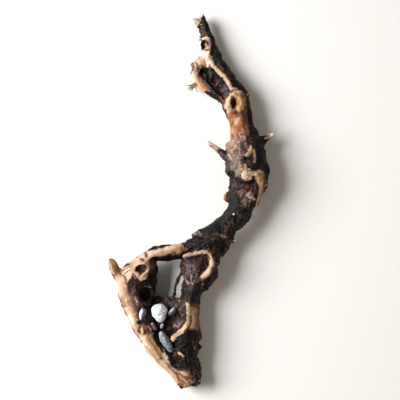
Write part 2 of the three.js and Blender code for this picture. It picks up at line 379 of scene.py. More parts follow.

# Marks on the upper side, painted in this order:
# (tone, share of peeled wood, lift in mm, softness in mm, then each path as [(x, y, half width), ...])
marks = [
    # tip
    ("bark", 0, 0, 1, [(110, 446, 3), (109, 434, 3)]),
    ("bleached", 1, 0.4, 0.6, [(101, 443.6, 5.4), (106, 440.6, 5), (110, 446.4, 2.4)]),
    ("umber", 0.9, -0.3, 0.4, [(107.6, 445, 0.6), (109.6, 443.4, 0.7)]),
    ("rose", 1, 0, 0.5, [(103.6, 439.6, 0.6), (108, 437.4, 0.8)]),
    ("bleached", 1, 0.3, 0.4, [(112, 437.4, 0.8)]),
    ("greyBarkAndSheen", 0, 0, 1.2, [(113, 434, 3), (114.6, 428, 3.4), (115.6, 424, 2.6)]),
    ("redBark", 0, 0, 1, [(119, 424, 1.8), (121, 419, 1.6)]),
    ("blackBark", 0, 0.2, 1.2, [(115.5, 446, 3), (120, 433, 3.4), (126, 418, 4), (130, 404, 5),
        (133, 396, 6)]),
    ("bleached", 1, 0.3, 0.5, [(113.8, 419.6, 1.2), (117.4, 420.6, 1.8), (120.8, 418.8, 1.7)]),
    ("rose", 1, 0.2, 0.5, [(122.2, 417, 1.5), (123, 413, 1.5), (121.8, 409.4, 1.6)]),
    ("tan", 1, 0.2, 0.5, [(121, 408.6, 1.5), (117.8, 408.8, 1.4)]),
    ("umber", 0.4, -0.4, 0.6, [(114.6, 416, 2), (118, 414.6, 2)]),
    ("bark", 0, -1, 0.7, [(112.6, 414.6, 2), (115, 411.4, 2)]),
    ("tan", 1, 0.2, 0.4, [(117, 413.6, 0.9), (119.4, 410, 1.2)]),
    ("bleached", 1, 0.5, 0.8, [(111.5, 405, 2.4), (118, 403.6, 3.6), (114, 399, 7), (117, 393, 8),
        (109, 392, 6)]),
    ("umber", 0.8, -0.3, 0.6, [(117, 406, 0.9), (122.6, 405.6, 1.1)]),
    ("tan", 1, -0.3, 0.5, [(110.4, 403.8, 0.6), (119, 402.9, 0.7)]),
    ("rose", 1, 0, 1.4, [(110, 398, 1.2), (108.6, 393.6, 1.6)]),
    # strand down the shaft
    ("blackBark", 0, 0.6, 0.8, [(131, 403, 7), (137, 391, 6.5), (146, 377, 6), (156, 362, 5.5),
        (164, 350, 5)]),
    ("umber", 0.6, 0, 0.8, [(130, 387, 3.4), (138, 376, 4), (147, 363, 4)]),
    ("tan", 1, 0.6, 0.6, [(122, 395, 3.8), (127.5, 386, 2.8), (132, 380, 2.2), (138, 374, 2.6),
        (142, 368, 2.6), (147, 361, 2.8), (152, 356, 4)]),
    ("bleached", 1, 0.2, 0.6, [(118, 395, 4), (126, 386.5, 1.5), (131, 381, 1.1)]),
    ("cream", 1, 0.2, 0.6, [(130, 383, 1.5), (138, 374.5, 1.8), (145, 364, 1.9), (150, 357, 2.8)]),
    # arm
    ("tan", 1, 0.3, 1.2, [(112, 389, 6), (104, 386, 7), (102, 378, 6), (104, 371, 5.6), (109, 365, 5.4),
        (114, 361, 4.6), (119, 357, 3.2)]),
    ("cream", 1, 0, 1.4, [(108, 392, 3), (101, 385, 3), (100, 377, 4), (103, 370, 3.4), (108, 363, 2.4)]),
    ("umber", 0.7, -0.3, 0.7, [(99.5, 390, 1.2), (103, 386.6, 1.4), (102, 382, 1)],
        [(106, 390.6, 1.2), (108.6, 386.4, 1.6), (107, 381, 1.2)]),
    ("brownBark", 0.4, -0.2, 0.6, [(112, 388.6, 1), (114, 385.6, 1.4)]),
    ("brownBark", 0.5, -0.2, 0.4, [(97.4, 386, 0.8), (99, 384, 0.6)]),
    ("umber", 0.7, -0.2, 0.4, [(100.4, 379.6, 0.6), (99.4, 376, 0.7)],
        [(104.6, 383.4, 0.7), (104, 378, 0.5)]),
    ("orange", 1, 0, 1.2, [(107, 376, 1.8), (109.5, 370, 2.4), (114.5, 363.5, 2.4), (120, 358.5, 1.8)]),
    ("umber", 1, 0, 0.8, [(111.6, 372, 1), (116, 365, 1.2), (121, 360, 1.2)]),
    # upper hollow
    ("blackBark", 0, -1.4, 1, [(115, 380, 4.4), (123, 375, 7), (130, 367, 8), (137, 359, 7.4),
        (141, 353, 5)]),
    ("slate", 0, 0.2, 0.5, [(114, 381, 0.8), (117.5, 374, 1), (117, 367, 1.1), (122, 361, 1.2),
        (127, 353, 0.9)]),
    ("brownBark", 0, 0.2, 0.6, [(121, 384, 1.4), (124.5, 377, 1.6), (123, 371, 1.4), (127, 366, 1.4)]),
    ("redBark", 0, 0.2, 0.7, [(129, 373, 1.2), (131.5, 367, 1.8), (129, 361, 1.4), (133.5, 356, 1)]),
    ("slate", 0, 0, 1.5, [(138, 361, 2.2), (141, 355, 2.4)]),
    ("violetBark", 0, 0, 1.5, [(136, 358, 3), (140, 352, 3)]),
    ("recessShade", 0, -0.6, 1, [(119, 354, 3.4), (126, 350, 3.6), (133, 345, 3.4)]),
    ("bark", 0, 0.2, 0.8, [(134, 350, 3.6), (138, 341, 3.6), (141.4, 332, 3), (145, 322, 2.2),
        (147, 315, 1)]),
    ("orange", 0.6, 0, 0.6, [(134, 350, 0.9), (139, 342, 0.9)]),
    # knot
    ("umber", 0.8, 0, 0.8, [(141, 337, 4.6), (145, 344, 5.4), (150, 352, 6), (158, 350, 6.6),
        (164, 342, 5.4), (161, 334, 6), (152, 331, 6)]),
    ("cream", 1, 0.3, 0.8, [(142.5, 337, 3.4), (145, 343, 4.2), (150, 351, 4.6), (156, 350, 5),
        (160, 344, 4.6), (159, 336, 4.6), (152, 332.5, 4.6), (146, 333, 4)]),
    ("gold", 1, 0, 1, [(155, 352, 2), (161, 347, 3.4), (163, 341, 3), (160, 334.5, 3)]),
    ("orange", 1, -0.3, 0.8, [(154, 346, 2.6), (155.5, 340, 2.8)]),
    ("cream", 1, 0.1, 0.6, [(155.5, 336, 1.2), (157.5, 333, 1.2)]),
    ("rust", 0.9, -0.6, 0.7, [(149.6, 347.8, 2.4), (150.2, 342, 3.4), (151.6, 335.4, 2.4)]),
    ("umber", 0.5, -0.4, 0.6, [(148.8, 346, 1), (149, 341.4, 1.7), (150.4, 336, 1.1)]),
    ("umber", 1, 0, 0.6, [(153.5, 332, 1.4), (155.5, 329, 1.6)]),
    # smooth wood under the knot
    ("orange", 1, 0.2, 2, [(152, 325, 8.6), (153, 316, 10), (153, 306, 11), (151, 298, 9)]),
    # painted highlight: a paler pinkish strip down the left edge of the smooth wood
    ("rose", 1, 0, 1.6, [(144, 316, 1.4), (143.5, 308, 2.4), (145, 299, 3.6), (144, 291, 3.4)]),
    ("rust", 1, 0, 1.6, [(146, 325, 2.6), (154, 327, 3)]),
    ("umber", 1, 0, 0.8, [(152, 330, 2.4), (157, 328, 1.8)]),
    ("cream", 1, 0, 0.9, [(156, 322, 1.4), (153.6, 317, 1.6)]),
    ("gold", 1, 0, 1.2, [(151, 314, 2), (149, 306, 2.6)]),
    ("rust", 1, 0, 1, [(158.6, 313, 2.4), (158, 306, 3.2)]),
    ("umber", 1, 0, 1.2, [(163.6, 326, 3), (165, 316, 4), (167, 307, 3)]),
    ("umber", 0.8, 0, 0.7, [(150.4, 320, 1), (147.6, 313.6, 0.9)]),
    ("dust", 0.4, 0, 1.4, [(156, 303, 3), (163, 300, 4)]),
    ("blackBark", 0, 0.2, 1, [(169, 350, 4), (170, 336, 4.4), (172, 322, 4.6), (174, 310, 5),
        (178, 301, 6.4)]),
    # swelling
    ("dust", 0.35, 0, 4.5, [(154, 291, 11), (154, 281, 15), (153, 266, 13)]),
    ("umber", 0.6, -0.2, 0.6, [(149, 304, 0.6), (149.6, 296, 0.9), (149, 288, 0.6)],
        [(156, 304, 0.7), (157, 296, 0.9), (156, 289, 0.6)]),
    ("leather", 0.9, 0, 0.8, [(152.6, 304, 1), (153.4, 296, 1.2), (153, 288, 0.8)]),
    ("rose", 0.9, 0, 0.9, [(145, 300, 1.4), (147, 290, 1.6), (146.6, 282, 1.4)]),
    ("umber", 0.2, 0, 1.6, [(153, 284, 2.4), (150, 277, 2)]),
    ("orange", 0.5, 0, 1.2, [(152, 293, 2), (150, 287, 2)]),
    ("violetBark", 0.1, 0, 1.6, [(159, 292, 3), (162, 284, 4)]),
    ("bark", 0, 0, 1.2, [(167, 299, 2.4), (170, 296, 3)]),
    ("ash", 0.4, 0.2, 1.4, [(151, 275, 4.6), (152.5, 266, 5.4), (155, 258, 3)]),
    ("dust", 0.3, 0.1, 1.6, [(157, 297, 2), (156, 290, 1.6)]),
    ("tan", 0.7, 0, 1.4, [(148, 296, 3), (151, 289, 3.4), (148, 283, 2.4)]),
    ("rose", 0.5, 0, 1, [(157, 286, 1.6), (153, 280, 2)]),
    ("brownBark", 0.2, 0, 1.2, [(162, 272, 5), (168, 268, 5)]),
    ("cream", 1, 0.5, 0.6, [(170.8, 290.4, 0.7), (170.4, 286, 1.9), (169, 281, 3.2), (165.6, 278.4, 1.6)]),
    ("leather", 1, 0.3, 0.7, [(172.4, 287, 1.2), (175, 281, 2.5), (176.4, 275, 2.5), (175.6, 270.6, 1.6)]),
    ("tan", 1, 0.1, 0.5, [(174, 284, 0.9), (176.8, 277, 1.2)]),
    ("umber", 1, 0, 0.6, [(173.4, 282, 0.9), (172.6, 277, 1.1)]),
    ("blackBark", 0, -1.4, 0.8, [(163, 276, 1.5), (166, 274.6, 2.2), (170, 274, 1.8)]),
    ("blackBark", 0, -0.2, 1.2, [(184, 301, 7.6), (185, 288, 8.6), (185, 274, 9), (190, 263, 6)]),
    ("violetBark", 0, 0, 1.4, [(139, 282, 4), (140, 271, 4.4), (143, 262, 4)]),
    ("bark", 0, 0, 1.5, [(147, 256, 5), (146, 246, 6), (152, 242, 7)]),
    ("recessShade", 0, -0.8, 1, [(155, 251, 2), (161, 247.5, 2.4), (169, 248, 4), (175, 250, 3.4)]),
    ("cream", 1, 0.4, 0.6, [(164.6, 267, 1.2), (164, 261, 2.4), (162, 255.5, 3.6), (161.5, 253, 3),
        (167, 251.5, 3.4)]),
    ("tan", 1, 0.2, 0.7, [(168, 262, 1.4), (170, 257, 3.4), (176, 257.5, 2.6)]),
    ("umber", 1, 0, 0.6, [(167.4, 260, 0.9), (172, 261, 1)]),
    ("leather", 1, 0.4, 0.7, [(180, 255.6, 4.6), (182.6, 251, 5.6), (183.4, 245, 4.6), (183.6, 239, 3),
        (183.6, 234, 1.6)]),
    ("umber", 1, 0, 1.2, [(186.6, 253, 1.4), (187, 246, 1.6), (185.5, 240, 1)]),
    ("cream", 1, 0.2, 0.7, [(176.6, 256.6, 1.6), (179.6, 259.8, 1.6), (184, 259.4, 1.3)]),
    ("tan", 1, 0.1, 0.8, [(178.6, 251, 1.3), (179.8, 245, 1.2)]),
    ("redBark", 0, 0, 1.2, [(163, 242, 2.4), (169, 240.5, 3)]),
    ("brownBark", 0, 0, 1.4, [(152, 245, 3), (151, 237, 3)]),
    ("dust", 0.1, 0, 1.6, [(161, 234, 5), (167, 229, 7), (165, 222, 5.6)]),
    ("ash", 0.2, 0, 1.2, [(166, 232, 2), (171, 228, 2.4), (170, 223, 1.6)]),
    ("bark", 0, 0, 1, [(159, 227, 2), (164, 234, 1.4)]),
    ("greyBarkAndSheen", 0, 0, 1.4, [(177, 244, 2.6), (176, 236, 3)]),
    ("tan", 1, 0.2, 0.7, [(182, 237, 1.2), (180.6, 229, 1.8), (178, 220, 1.2)]),
    ("rust", 0.4, 0.2, 0.6, [(141.5, 233, 1.8), (141.4, 227, 2.6), (143, 222, 1.6)]),
    ("gold", 0.9, 0.2, 0.4, [(139.8, 229.6, 0.8), (141.6, 225.4, 0.7)]),
    ("bark", 0.2, -0.8, 0.5, [(142.8, 230.6, 0.9), (142.6, 225, 0.7)]),
    ("cream", 1, 0, 0.5, [(140.8, 236, 1.2), (141, 233, 0.8)], [(143.6, 222.4, 1.5)]),
    # stubs
    ("bleached", 1, 0, 0.8, [(119, 294.5, 5), (126, 290, 4), (131, 287, 4)]),
    ("gold", 1, 0, 0.6, [(122, 291, 0.8), (131, 285, 1)]),
    ("violetBark", 0, 0.2, 0.8, [(134, 284, 3), (138, 281, 4.4)]),
    ("redBark", 0.3, 0, 0.6, [(133.6, 285, 1.2), (136, 285.6, 1)]),
    ("bleached", 1, 0, 0.8, [(189, 300.5, 1.8), (195, 303, 3), (200, 305, 3)]),
    ("rose", 1, 0, 0.6, [(191, 299.6, 0.8), (195, 301, 0.8)]),
    ("bark", 0, 0, 0.6, [(188, 301, 1), (193.5, 303, 0.9)]),
    # bend and crotch
    ("blueBark", 0, 0, 2, [(150, 221, 8), (142, 210, 9), (131, 201, 9), (119, 191, 7)]),
    # painted sheen: a grey streak along the smooth black bend
    ("greyBarkAndSheen", 0, 0, 1.6, [(140, 216, 1.4), (135.5, 210, 2.2), (128, 203, 2.4), (117, 195, 2.2)]),
    ("redBark", 0, 0, 1.6, [(145, 195, 1.6), (139, 187, 2)]),
    ("bark", 0, 0, 2, [(160, 208, 6), (152, 195, 6), (148, 184, 5)]),
    ("rose", 0.3, 0, 1.4, [(101, 187, 2.2), (106.4, 187, 2.4), (111, 184.6, 1.6)]),
    ("violetBark", 0, 0, 0.8, [(106, 189, 1), (108.6, 183.6, 1)]),
    ("violetBark", 0, 0, 1.4, [(121, 176, 1.8), (129, 178.6, 2.4), (139, 183, 2.6)]),
    ("brownBark", 0.1, 0, 2, [(130, 184, 2.6), (138, 181, 3.6), (147, 177, 3)]),
    ("rose", 0.2, 0, 1, [(134, 184, 0.8), (139, 182, 1)]),
    # bar
    # painted shade: near-black under the bar
    ("recessShade", 0, -0.4, 1, [(56, 153, 3), (66, 156, 3), (78, 157, 3), (88, 156.5, 3)]),
    ("umber", 0.8, 0, 1, [(60, 160.5, 3), (72, 163, 3), (84, 163.5, 3.4), (92, 166, 3)]),
    ("tan", 1, 0.3, 0.8, [(48, 158, 4.4), (56, 162, 4), (66, 165, 3.8), (77, 167, 4), (86, 168, 4.8)]),
    ("leather", 1, 0, 1.4, [(77, 164.6, 2), (83, 166, 2.8), (88, 167.5, 3)]),
    ("gold", 1, 0, 1.2, [(82, 165, 1.4), (86, 166, 1.4)]),
    ("rose", 1, 0, 1, [(60, 163, 1), (68, 165.6, 1.2)]),
    ("cream", 1, 0, 0.8, [(53, 163, 2), (64, 166.5, 2), (74, 168.6, 1.8), (80, 170.4, 1.2)]),
    ("blackBark", 0, 0.2, 0.6, [(49, 166.6, 1), (57, 169.6, 1.5), (66, 171.6, 1.3), (72, 172.2, 1)]),
    ("greyBarkAndSheen", 0, 0.1, 0.5, [(69, 172, 0.7), (76.6, 172.8, 0.8)]),
    # upper left of the loop
    ("tan", 1, 0.2, 1.2, [(42, 158, 6), (34, 151, 6), (23, 141, 8), (16, 132, 7)]),
    ("cream", 1, 0.1, 1, [(36, 154, 3), (41, 158, 3), (46, 163, 1.6)]),
    ("tan", 1, 0.2, 0.8, [(47, 152, 4), (50, 144, 3), (46, 137, 3.4), (40, 131, 3)]),
    ("rose", 1, 0, 0.8, [(21, 143.6, 1.6), (26, 147, 2.2), (30, 150, 1.4)]),
    ("blackBark", 0, 0.4, 0.6, [(15.6, 147.6, 1.3), (20, 146.8, 1.6), (25, 148.6, 1)]),
    ("rust", 1, 0, 0.5, [(16.6, 140.6, 1.2), (22.8, 142.4, 1)]),
    ("violetBark", 0.1, -0.5, 0.5, [(14.8, 141, 0.9), (16.6, 134.6, 1.1)],
        [(18.6, 131.6, 0.9), (24, 137.6, 1)]),
    ("bleached", 1, 0.4, 0.4, [(17.4, 136.8, 0.7), (21.6, 140.8, 1), (26, 143.4, 0.7)],
        [(19.8, 134, 0.7), (24, 138, 1), (28, 141.6, 0.6)]),
    ("violetBark", 0.4, -0.5, 0.4, [(18.8, 135.6, 0.4), (23, 139.6, 0.6), (26, 141.8, 0.4)]),
    ("umber", 0.7, -0.5, 0.5, [(24.6, 134.6, 0.9), (28.4, 142, 1)]),
    ("cream", 1, 0.4, 0.6, [(32.4, 146, 1.6), (29.6, 140.4, 2.3), (25.6, 134, 2.6), (21.6, 127.6, 2.6)]),
    ("cream", 1, 0.3, 0.6, [(32.6, 139.4, 1.6), (38.6, 132, 1.9), (45.4, 136.6, 1.8), (50.4, 142.6, 1.6)],
        [(39, 150.4, 1.5), (45.6, 150.4, 1.6), (50.6, 146, 1.3)]),
    ("dust", 0.2, -0.4, 0.5, [(32, 136, 1.6), (34.6, 131, 2.2)]),
    ("blackBark", 0, -0.8, 0.5, [(33.4, 134.4, 0.8), (38.6, 128.8, 1.1)]),
    ("brownBark", 0, -1, 0.7, [(36.4, 143, 3), (43.6, 144.6, 3.6)]),
    ("violetBark", 0, 0, 0.8, [(40, 145, 1.4), (45, 146, 1.4)]),
    ("bark", 0, -0.6, 0.6, [(34.8, 145, 1), (38, 147.4, 0.9), (42, 147.4, 0.8)]),
    ("tan", 1, 0.8, 0.5, [(36.6, 137.6, 1), (40, 134.6, 1.7), (44, 137.4, 1.1)]),
    ("rust", 0.6, -0.7, 0.5, [(45.4, 162.4, 1.4), (47, 158.6, 1.6)]),
    ("bark", 0.2, -0.3, 0.4, [(46.4, 160.6, 0.8)]),
    ("umber", 0.5, -0.5, 0.5, [(38.6, 155.6, 1), (42.6, 153.8, 1.7)]),
    ("violetBark", 0.2, 0, 0.5, [(34.4, 156.6, 0.8), (38, 159.6, 0.9)]),
    ("gold", 1, 0, 1, [(5, 152, 5), (7.4, 146, 6), (11, 139, 6)]),
    # painted highlight: cream down the spur's left edge
    ("cream", 1, 0, 1, [(1.6, 151, 1.8), (3.4, 145, 1.6), (6.4, 138, 1.8)]),
    # painted shade: leather down the spur's right side
    ("leather", 1, 0, 0.9, [(7.6, 150, 1.6), (10, 145, 2.6), (11.4, 139, 2)]),
    # inside of the loop's left side
    ("umber", 0.6, 0, 0.9, [(53, 152, 2.6), (53, 145, 2.8), (51, 139, 2)]),
    ("rust", 0.8, 0, 0.8, [(51, 150, 1.4), (52, 144, 1.4)]),
    ("blackBark", 0, 0, 0.8, [(57.4, 151, 2), (58.6, 144, 2.2), (58, 136, 3)]),
    ("bark", 0, -0.8, 1.2, [(33, 125, 7), (38, 117, 12), (44, 104, 11)]),
    ("brownBark", 0, 0.2, 1.2, [(34, 104, 3.4), (40, 99, 3), (28, 113, 2)]),
    ("violetBark", 0, 0.2, 1.2, [(27, 123, 2.4), (31, 116, 3), (32, 110, 2.6)]),
    ("bark", 0, -1, 2.4, [(47, 115, 6), (50, 111, 4)]),
    ("rose", 0.1, 0.2, 0.9, [(33.6, 109, 1.3), (36.6, 102, 1.8)]),
    ("dust", 0, 0.2, 0.7, [(46, 122, 0.9), (50, 121, 0.9)]),
    # pale band down the left edge
    # painted shade: umber showing along the band's right-hand edge
    ("umber", 0.8, 0, 1.2, [(17, 128, 7), (20, 115, 6.6), (26, 101, 7), (31, 88, 7.4), (38, 75, 6)]),
    ("tan", 1, 0.4, 1.2, [(15, 128, 6), (18, 115, 5.6), (23, 101, 6), (28, 88, 6.4), (33, 75, 5),
        (46, 62, 9), (53, 48, 9.6), (60, 39, 10.4), (65, 32, 8), (70, 26, 8), (79, 15, 8.6), (88, 7, 9)]),
    # painted highlight: cream along the pale band's left edge
    ("cream", 1, 0.1, 1.4, [(11.6, 128, 3), (14.6, 115, 3), (19, 101, 3.4), (25.6, 86, 3.6), (31.6, 76, 3)],
        [(41, 60, 3), (48, 46, 3.4), (57, 36, 3)]),
    # pale wood painted whiter as a highlight
    ("bleached", 1, 0.2, 0.8, [(66.4, 41, 2.8), (70.4, 37, 3)]),
    ("leather", 1, 0, 1.4, [(17, 108, 2.4), (20, 99, 2.6)]),
    # painted shade: leather down the band's inner side
    ("leather", 1, 0, 1.2, [(22, 118, 1.8), (26, 104, 2), (32, 92, 1.4)]),
    # pale wood painted whiter as highlights
    ("bleached", 1, 0.2, 0.9, [(27.6, 88, 2), (31.6, 80, 2.4)], [(41, 62, 1.6), (46, 54, 1.8)]),
    ("gold", 1, 0, 1.6, [(52, 60, 2.6), (59, 46, 2.6), (66, 36, 2.6)]),
    ("leather", 1, -0.2, 0.8, [(46, 50, 0.8), (54, 42, 1), (62, 31, 0.9)]),
    ("umber", 1, -0.6, 0.6, [(70, 31, 0.7), (76, 23.6, 1), (83, 17, 1.2), (86.4, 6, 1.1)]),
    ("blackBark", 0, -0.6, 0.8, [(37.6, 79.5, 2), (43, 79, 2.6)]),
    ("rust", 1, 0.3, 0.8, [(40, 71.6, 4.4), (46, 70, 4.8)]),
    ("umber", 0.7, -0.4, 0.5, [(38, 74, 0.8), (38.6, 67, 1)], [(43.6, 74, 0.8), (44.6, 66, 1)],
        [(49, 72, 0.8), (49.6, 65, 1)]),
    ("tan", 1, 0.2, 0.5, [(41, 72, 1), (42, 68, 1)]),
    ("blackBark", 0, -0.4, 0.9, [(56, 63, 2.4), (62, 52, 2.4), (66, 44, 1.4)]),
    # right side of the loop
    ("tan", 0.9, 0.1, 0.5, [(113.4, 126, 0.7), (112, 119, 0.9), (110.4, 112, 0.6)]),
    ("violetBark", 0.1, 0, 2, [(97, 149, 7), (100, 136, 9), (103, 124, 7)]),
    ("redBark", 0, 0.2, 1, [(93, 150, 1.4), (92, 140, 2.2), (94, 132, 1.6)]),
    ("rose", 0.2, 0.2, 0.8, [(96, 126, 1.6), (90.5, 134, 1.4)]),
    ("bark", 0, 0, 1.6, [(112, 150, 6), (116, 142, 4)]),
    ("blueBark", 0, -0.3, 1.6, [(108, 121, 6.4), (106, 109, 6.4)]),
    ("slate", 0.1, 0.2, 0.6, [(98, 148, 1.6), (98.6, 142, 1.8), (99.4, 137, 1)]),
    ("ash", 0.3, 0.2, 0.5, [(99.6, 136, 1), (100.4, 130, 1.4), (101, 126, 1)]),
    ("umber", 0.5, 0, 0.6, [(92, 158, 2.8), (110, 162.6, 3.2), (118, 164, 3.6), (124, 159, 3.8),
        (126, 151, 4), (123, 143, 4.2), (117, 136, 4.6)]),
    ("tan", 1, 0.4, 0.6, [(92, 158.6, 1.7), (101, 161.4, 1.9), (110, 163.4, 2.4), (117, 164, 2.2),
        (122, 161, 1.7), (124.6, 154, 1.9), (123.6, 147, 2.2), (118.5, 139.6, 3), (113.6, 134, 3.6)]),
    ("rose", 1, 0, 0.6, [(92, 158, 1.4), (102, 161, 1.2), (107, 162, 1.2)]),
    ("umber", 1, 0, 0.5, [(112, 161, 0.8), (119, 161.8, 0.8), (122.4, 156, 0.8)]),
    ("cream", 1, 0, 0.6, [(104, 163, 0.9), (112, 164.6, 1.2), (118, 165.2, 1)],
        [(125.6, 156, 0.8), (124.6, 148, 0.9), (118, 140, 1.2), (112, 134.6, 1.6)]),
    ("rust", 1, 0, 0.6, [(115.6, 133, 1), (112, 131, 1.1)]),
    # floor with the stones
    ("brownBark", 0.1, 0, 2, [(68, 107, 3.4), (80, 104, 5), (88, 98, 7), (90, 86, 6), (84, 76, 6)]),
    ("violetBark", 0.1, 0.2, 1, [(72, 107, 1.4), (82, 103, 2), (89, 94, 2.6), (90, 84, 2)]),
    ("rose", 0.1, 0.2, 0.9, [(88, 80, 1), (84, 74, 1.3), (79, 75, 0.9)]),
    ("dust", 0.1, 0.2, 0.9, [(86, 104, 0.9), (82, 106, 0.8)]),
    ("bark", 0, -0.3, 1, [(84, 92, 2.4), (80, 86, 2)]),
    # painted shade: near-black in the hollows beside the stones
    ("recessShade", 0, -0.6, 1, [(52, 81, 3), (60, 71, 3), (60, 60, 2.4), (68, 78, 2)],
        [(52, 96, 2.4), (50, 90, 2)]),
    # lower right
    ("umber", 0.8, 0.2, 1, [(103, 95, 5), (106, 83, 6.4), (104, 72, 6)]),
    ("leather", 1, 0.2, 1.2, [(102, 95, 3.6), (104, 85, 4.4), (103, 75, 4.2)]),
    ("tan", 1, 0, 1.2, [(101.6, 92, 1.6), (102.6, 82, 1.6), (102, 75, 1.4)]),
    # painted shade: rust down the right side of the patch
    ("rust", 1, 0, 1.2, [(107, 90, 1.6), (108.4, 80, 2), (106.4, 72, 1.6)]),
    ("umber", 0.8, 0, 1, [(104, 100, 2.4), (108, 98, 2)]),
    ("tan", 1, 0.4, 0.6, [(95.5, 101, 2.2), (97, 91, 2.4), (96.6, 80, 2.6), (92, 73, 2.6), (84, 66, 2.8),
        (78, 60.5, 2.8)]),
    ("cream", 1, 0, 0.6, [(94.6, 101, 1.2), (95.4, 88, 0.9)], [(92, 74, 1), (86, 68.5, 1.1), (79, 62, 1.1)]),
    ("rose", 1, 0, 0.6, [(79.4, 59.4, 1), (82, 61, 0.8)]),
    ("umber", 1, 0, 0.6, [(99, 84, 0.9), (98, 76, 1), (92, 69.5, 0.9)]),
    ("blackBark", 0, -0.3, 1.2, [(101, 62, 9), (98, 49, 12), (95, 38, 11), (82, 46, 6), (76, 46, 3)]),
    ("cream", 1, 0.4, 0.4, [(85.2, 43, 0.7), (88, 41.6, 1.3), (90.2, 40, 1.7)]),
    ("redBark", 0, 0, 0.8, [(80, 42, 1.6), (84, 40, 1.2)]),
    ("violetBark", 0, 0, 1.2, [(76, 30, 2), (80, 26, 2.4)]),
    ("redBark", 0.2, 1.4, 1.4, [(112, 62, 2.6), (112.4, 58, 2)]),
    ("blackBark", 0, -1.4, 1.4, [(111, 53.6, 2.5)]),
    ("blackBark", 0, 2.6, 1.4, [(110.4, 48, 2.6)]),
    ("brownBark", 0, 0, 1, [(102, 56, 1.6), (104, 49, 1.6)]),
    # foot
    ("gold", 1, 0.2, 1.4, [(89, 16, 4.4), (94, 12, 7), (93, 4, 6)]),
    ("rose", 1, 0, 1, [(92, 19, 1.6), (98, 19, 1.4)]),
    ("rust", 1, 0, 1, [(98, 14, 1.8), (102, 11, 1.6)]),
    ("orange", 1, 0, 1, [(99, 15, 2), (92, 10, 2)]),
    ("cream", 1, 0.3, 0.4, [(88, 20, 0.6), (93, 17, 0.9), (97, 16, 0.5)], [(90, 12, 0.6), (95, 8, 0.8)]),
    ("umber", 1, -0.6, 0.5, [(86, 18, 0.7), (91, 14, 0.9), (97, 12, 0.6)],
        [(89, 24, 0.7), (94, 20, 0.9), (101, 17, 0.7)], [(85, 11, 0.7), (90, 8, 0.9), (96, 3, 0.7)],
        [(94, 12, 0.6), (99, 7, 0.8), (100, 1, 0.6)]),
    ("speckled", 0.1, 0, 1.4, [(106, 24, 4), (107, 16, 5), (107, 4, 5.2)]),
    ("tan", 0.8, 0.3, 0.4, [(101.4, 14.6, 0.8)], [(102.6, 8, 0.7)], [(104.4, 17.6, 0.6)]),
    ("brownBark", 0.2, 0.2, 0.6, [(102, 20, 1), (104, 12, 1.2)]),
    ("redBark", 0.2, 0, 1, [(112, 18, 2), (113, 8, 2)]),
    ("bark", 0.3, -0.4, 0.8, [(85, 4, 1.2), (90, -0.5, 2.2)]),
]

# How marks are laid on: their ragged edges, and how far they reach round the side. Sizes in mm.
markEdges = {
    "ragged": {"fine": 0.9, "lumps": 1.6},
    "raggedWidth": 3.5,  # a mark of this half width has its edges fully ragged
    "raggedShares": (0.4, 1.3),
    "smallWidth": 2.5,  # narrower marks stay on top, wider ones also cover the side
    "smallFacing": (0.0, 0.3),
    "wideFacing": (-0.65, -0.1),
    "unevenTilt": 0.4,
}
lumpFields = {  # name: (size in mm, seed, octaves)
    "lumps": (7, 1, 3),
    "fine": (2.6, 2, 2),
    "broad": (24, 5, 2),
    "patches": (10, 8, 2),
    "wide": (30, 9, 1),
    "specks": (2.2, 12, 1),
    "pits": (3.4, 13, 1),
    "cracks": (8, 6, 2),
}
grainFields = {  # name: (size in mm, reach along the grain in mm, seed)
    "fissure": (3.2, 7, 3),
    "fibre": (1.3, 6, 4),
}
wear = {  # name: (field, where it starts, where it is full, tone, how strongly)
    "blackening": ("broad", -0.15, 0.3, "blackBark", 1),
    "underside": ("wide", 0.0, 0.3, "umber", 0.8),
    "stain": ("patches", 0.12, 0.5, "umber", 0.35),
    "grainLine": ("fibre", 0.7, 1.9, "umber", 0.45),
    "speck": ("specks", 0.28, 0.46, "ash", 0.3),
    "pit": ("pits", 0.22, 0.5, "bark", 0.5),
}
shading = {  # what each field adds to the brightness, as a power of e
    "bark": {"blotch": 0.3, "fissure": 0.1},
    "mottle": {"blotch": 0.6, "fissure": 0.22},
    "wood": {"fibre": 0.1, "lumps": 0.2},
}
relief = {  # what each field raises, in mm
    "bark": {"ridges": 0.65, "fissure": 0.35, "lumps": 1.3, "fine": 0.3, "level": -0.4},
    "wood": {"fissure": 0.14, "fibre": 0.08, "lumps": 0.5, "level": 0.15},
    "flats": (0.3, 3.0),  # heights between which the contact flats give way to it
    "crevice": (-0.1, -1.4),  # a dip starts to darken, and is darkest
    "creviceShade": 0.5,
}
blotchShares = {"fine": 1, "lumps": 0.5}
ridgeSharpness = 2.2
startingCoat = {"peel": 0.0, "lift": 0.0, "mottle": 0.25, "roughness": 0.9}
undersidePeel = 0.6
stainedEdge = {"from": (0.15, 0.45), "until": (0.55, 0.9), "strength": 0.6, "mottleBelow": 0.5}
toneRange = (0.001, 0.92)
crumblyRoughness = (0.35, 0.95)


def weighted(fields, shares):
    return sum(share * fields[name] for name, share in shares.items())


def allFields(points):
    grain = grainDirection(points)
    fields = {name: noiseField(points, *facts) for name, facts in lumpFields.items()}
    fields |= {name: fibreField(points, grain, *facts) for name, facts in grainFields.items()}
    fields["blotch"] = weighted(fields, blotchShares)
    fields["ridges"] = 1 - ridgeSharpness * np.abs(fields["cracks"])
    fields["level"] = np.ones(len(points))
    return fields


